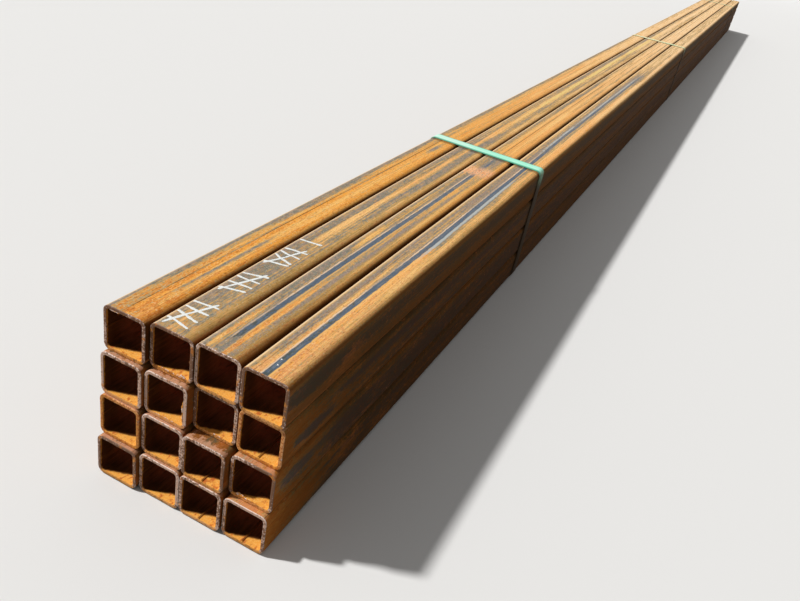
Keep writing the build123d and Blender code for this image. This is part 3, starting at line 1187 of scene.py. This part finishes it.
class OBJECT_OT_straps(bpy.types.Operator):
    """Makes the three green straps with their laps"""

    bl_idname = "object.bundle_straps"
    bl_label = "Green straps"

    def execute(self, context):
        material = band_finish()
        for number, name in enumerate(STRAPS):
            make_strap(number, name, material)
        return {"FINISHED"}


# The tally strokes

# Where each gate of four strokes and a slanting one starts, in metres from the bundle's near end
GATES = (0.040, 0.142, 0.240)
# Where the single stroke after them has its two ends, and how far apart a gate's four strokes are
LAST_STROKE = (0.328, 0.334)
STROKE_GAP = 17 * MM
# Where a stroke starts, in metres from the tube's left side
STROKE_START = 6 * MM
# Drops of the paint on the fourth tube, in metres from its left side and from the bundle's near end
DROPS = ((0.0266, 0.0572), (0.0292, 0.0455))
# How far a drop reaches across and along, in metres, and its breadth in widths of a stroke
DROP_REACH = (0.0016, 0.001)
DROP_BREADTH = 0.55
STROKE_SEED = 40
DROP_SEED = 80


def tally_lines(settings):
    """The start and end of each stroke: across from the tube's left side, and along from the near end."""
    random = np.random.default_rng(5)
    low, high = STROKE_START, STROKE_START + settings.stroke_length
    lines = [((low, LAST_STROKE[0]), (high, LAST_STROKE[1]))]
    for gate in GATES:
        for bar in range(4):
            at = gate + bar * STROKE_GAP
            lean = random.uniform(-0.006, 0.006)
            lines.append(((low, at + lean), (high, at - lean)))
        # The slanting stroke that crosses the four
        lines.append(((low + 0.004, gate - 0.012), (high - 0.006, gate + 0.063)))
    return lines


def stroke(settings, box, start, stop, seed, breadth=1.0):
    """The points of one stroke, rows x loop x 3: a ribbon from start to stop that wavers, swells and thins,
    and lies on the rounded top wall. Its upper side is the skin's height plus a film that thins to the edges,
    its underside lies just under the skin, and both meet in a point at the ends."""
    share = np.linspace(0, 1, 40)
    line = np.outer(1 - share, start) + np.outer(share, stop)
    along = np.array(stop) - np.array(start)
    side = np.array([-along[1], along[0]]) / np.linalg.norm(along)
    line += side * (0.0011 * smooth_noise(share * 0.04, 0.016, seed))[:, None]
    width = breadth * settings.stroke_width / 2 * (1 + 0.22 * smooth_noise(share * 0.04, 0.006, seed + 1))
    width *= 1 + 0.16 * smooth_noise(share * 0.04, 0.0016, seed + 2)
    taper = np.clip(np.minimum(share, 1 - share) * 16, 0, 1) ** 0.5
    width *= taper
    spread = across_and_back(-1, 1)
    upper = np.repeat([1.0, 0.0], FACE_POINTS)
    plan = line[:, None] + side * width[:, None, None] * spread[None, :, None]
    x = box[0].x + plan[..., 0]
    tube = bpy.context.scene.tube_settings
    radius, centre = tube.corner_radius, (box[0].x + box[1].x) / 2
    flat = (box[1].x - box[0].x) / 2 - radius
    from_middle = np.abs(x - centre)
    drop = radius - np.sqrt(radius**2 - np.clip(from_middle - flat, 0, radius) ** 2)
    sink = tube.dish * np.clip(1 - (from_middle / flat) ** 2, 0, 1)
    film = (settings.film * (1 - 0.7 * spread**4) * upper - 0.05 * MM * (1 - upper)) * taper[:, None]
    return np.stack([x, NEAR_END + plan[..., 1], box[1].z - drop - sink + film], -1)


def paint_finish():
    """White marker paint, thin and broken where the brush ran dry."""
    colours = bpy.context.scene.mark_settings
    finish = Finish("marker_paint")
    where = finish.object_place()
    grain = finish.noise(where, (900.0, 500.0, 900.0), 3.0, 0.6)
    finish.set(Base_Color=colours.paint_white, Roughness=0.6)
    finish.set(Alpha=finish.step(grain, 0.30, 0.42), Normal=finish.bump(grain, 0.0002, 0.5))
    return finish.material


class OBJECT_OT_tally(bpy.types.Operator):
    """Makes the painted tally strokes on the second tube and the drops of paint on the fourth"""

    bl_idname = "object.bundle_tally"
    bl_label = "Tally strokes"

    def execute(self, context):
        settings = context.scene.mark_settings
        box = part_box("tube_row1_column2")
        strokes = [
            stroke(settings, box, start, stop, STROKE_SEED + 3 * number)
            for number, (start, stop) in enumerate(tally_lines(settings))
        ]
        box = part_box("tube_row1_column4")
        drops = [
            stroke(settings, box, drop, np.add(drop, DROP_REACH), DROP_SEED + 3 * number, DROP_BREADTH)
            for number, drop in enumerate(DROPS)
        ]
        paint = paint_finish()
        pointed_pieces("tally_strokes", strokes, paint)
        pointed_pieces("paint_drops", drops, paint)
        return {"FINISHED"}


# The studio

WHITE = (1.0, 1.0, 1.0)
# How far from the bundle's middle the floor begins to turn white and is white, in metres
FADE_START = 4.0
FADE_END = 25.0


def make_camera(settings):
    """The camera at the photograph's place: turned by its heading, tilted down, then rolled on its axis."""
    camera = bpy.data.objects.new("camera", bpy.data.cameras.new("camera"))
    camera.data.lens = settings.lens
    camera.data.sensor_width = FRAME_WIDTH
    camera.data.clip_start = 0.05
    camera.data.clip_end = 200.0
    camera.location = (settings.camera_x, settings.camera_y, settings.camera_z)
    turned = Matrix.Rotation(settings.heading, 4, "Z") @ Matrix.Rotation(math.pi / 2 - settings.tilt, 4, "X")
    camera.rotation_euler = (turned @ Matrix.Rotation(settings.roll, 4, "Z")).to_euler()
    bpy.context.scene.collection.objects.link(camera)
    bpy.context.scene.camera = camera


def make_lights(settings):
    """A key light from the left and above, and a white surround that fills the shadows."""
    light = bpy.data.lights.new("key", "SUN")
    light.energy = settings.key_strength
    light.angle = settings.key_spread
    key = bpy.data.objects.new("key", light)
    key.rotation_euler = (settings.key_tilt, -settings.key_lean, 0.0)
    bpy.context.scene.collection.objects.link(key)
    world = bpy.data.worlds.new("surround")
    world.use_nodes = True
    bpy.context.scene.world = world
    nodes = Nodes(world.node_tree)
    fill = {"Value": nodes.seen(), "To Min": settings.fill_strength, "To Max": 1.0}
    background = world.node_tree.nodes["Background"]
    nodes.feed(background.inputs["Color"], WHITE)
    nodes.feed(background.inputs["Strength"], nodes.node("ShaderNodeMapRange", {}, fill))


def make_floor(settings):
    """A plain square on which the straps lie, pale where it is seen and darker where it lights the tubes. Far
    away it turns as white as the surround."""
    finish = Finish("pale_floor")
    where = finish.object_place()
    away = finish.node("ShaderNodeVectorMath", {"operation": "LENGTH"}, {0: where}, output="Value")
    pale = finish.mix(finish.step(away, FADE_START, FADE_END), settings.floor_seen, WHITE)
    finish.set(Base_Color=finish.mix(finish.seen(), settings.floor_glow, pale), Roughness=0.9)
    half = settings.floor_size / 2
    mesh = bpy.data.meshes.new("floor")
    corners = [(-half, -half, 0), (half, -half, 0), (half, half, 0), (-half, half, 0)]
    mesh.from_pydata(corners, [], [(0, 1, 2, 3)])
    mesh.materials.append(finish.material)
    floor = bpy.data.objects.new("floor", mesh)
    bpy.context.scene.collection.objects.link(floor)


class OBJECT_OT_studio(bpy.types.Operator):
    """Makes the camera, the soft light and the pale floor"""

    bl_idname = "object.bundle_studio"
    bl_label = "Studio"

    def execute(self, context):
        settings = context.scene.studio_settings
        context.scene.view_settings.view_transform = "Standard"
        make_camera(settings)
        make_lights(settings)
        make_floor(settings)
        return {"FINISHED"}


# The add-on


class VIEW3D_PT_bundle(bpy.types.Panel):
    """Lists what makes the bundle's pieces, and their sizes and colours"""

    bl_label = "Tube bundle"
    bl_idname = "VIEW3D_PT_bundle"
    bl_space_type = "VIEW_3D"
    bl_region_type = "UI"
    bl_category = "Tubes"

    def draw(self, context):
        for operator in OPERATORS:
            self.layout.operator(operator.bl_idname)
        for group in GROUPS:
            settings = getattr(context.scene, group)
            for name in GROUPS[group].__annotations__:
                self.layout.prop(settings, name)


GROUPS = {
    "tube_settings": TubeSettings,
    "strap_settings": StrapSettings,
    "mark_settings": MarkSettings,
    "studio_settings": StudioSettings,
}
OPERATORS = (OBJECT_OT_studio, OBJECT_OT_tubes, OBJECT_OT_burrs, OBJECT_OT_straps, OBJECT_OT_tally)


def register():
    for group in GROUPS:
        bpy.utils.register_class(GROUPS[group])
        setattr(bpy.types.Scene, group, bpy.props.PointerProperty(type=GROUPS[group]))
    for operator in OPERATORS:
        bpy.utils.register_class(operator)
    bpy.utils.register_class(VIEW3D_PT_bundle)


def unregister():
    bpy.utils.unregister_class(VIEW3D_PT_bundle)
    for operator in reversed(OPERATORS):
        bpy.utils.unregister_class(operator)
    for group in reversed(GROUPS):
        delattr(bpy.types.Scene, group)
        bpy.utils.unregister_class(GROUPS[group])


def main():
    register()
    bpy.ops.object.bundle_studio()
    bpy.ops.object.bundle_tubes()
    bpy.ops.object.bundle_burrs()
    bpy.ops.object.bundle_straps()
    bpy.ops.object.bundle_tally()


if __name__ == "__main__":
    main()
